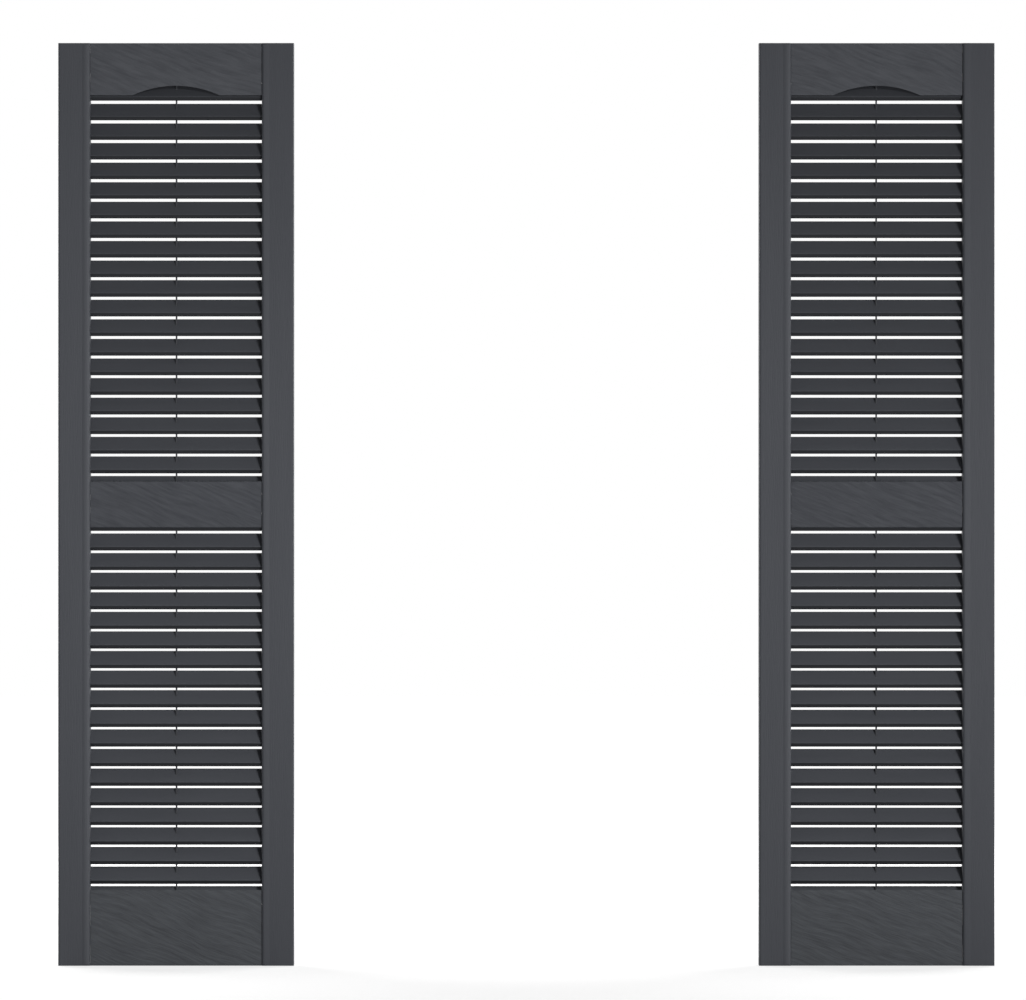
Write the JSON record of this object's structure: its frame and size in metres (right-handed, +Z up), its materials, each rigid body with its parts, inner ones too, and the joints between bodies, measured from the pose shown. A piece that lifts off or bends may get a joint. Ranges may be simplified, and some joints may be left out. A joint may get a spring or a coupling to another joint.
{
  "type": "louvred shutters",
  "caption": "Matching exterior window shutters with fixed open louvres between raised stiles, a mid rail and a shallow arch in the top rail.",
  "frame": {"origin": "midway between the two shutters, at their bottom edge, in the middle of their depth", "axes": "+X to the right as seen from the front, +Y back towards the wall, +Z up"},
  "size_m": [1.2116, 0.0254, 1.1938],
  "materials": {
    "stile_plastic": "satin dark grey with a fine upright wood grain",
    "rail_plastic": "satin dark grey with a slanting embossed wood grain",
    "louvre_plastic": "smooth satin dark grey"
  },
  "bodies": {
    "root": {"left_shutter_left_stile": "stile_plastic", "left_shutter_right_stile": "stile_plastic", "left_shutter_top_rail": "rail_plastic", "left_shutter_upper_louvre_panel": "louvre_plastic", "left_shutter_mid_rail": "rail_plastic", "left_shutter_lower_louvre_panel": "louvre_plastic", "left_shutter_bottom_rail": "rail_plastic", "right_shutter_left_stile": "stile_plastic", "right_shutter_right_stile": "stile_plastic", "right_shutter_top_rail": "rail_plastic", "right_shutter_upper_louvre_panel": "louvre_plastic", "right_shutter_mid_rail": "rail_plastic", "right_shutter_lower_louvre_panel": "louvre_plastic", "right_shutter_bottom_rail": "rail_plastic"}
  },
  "joints": []
}
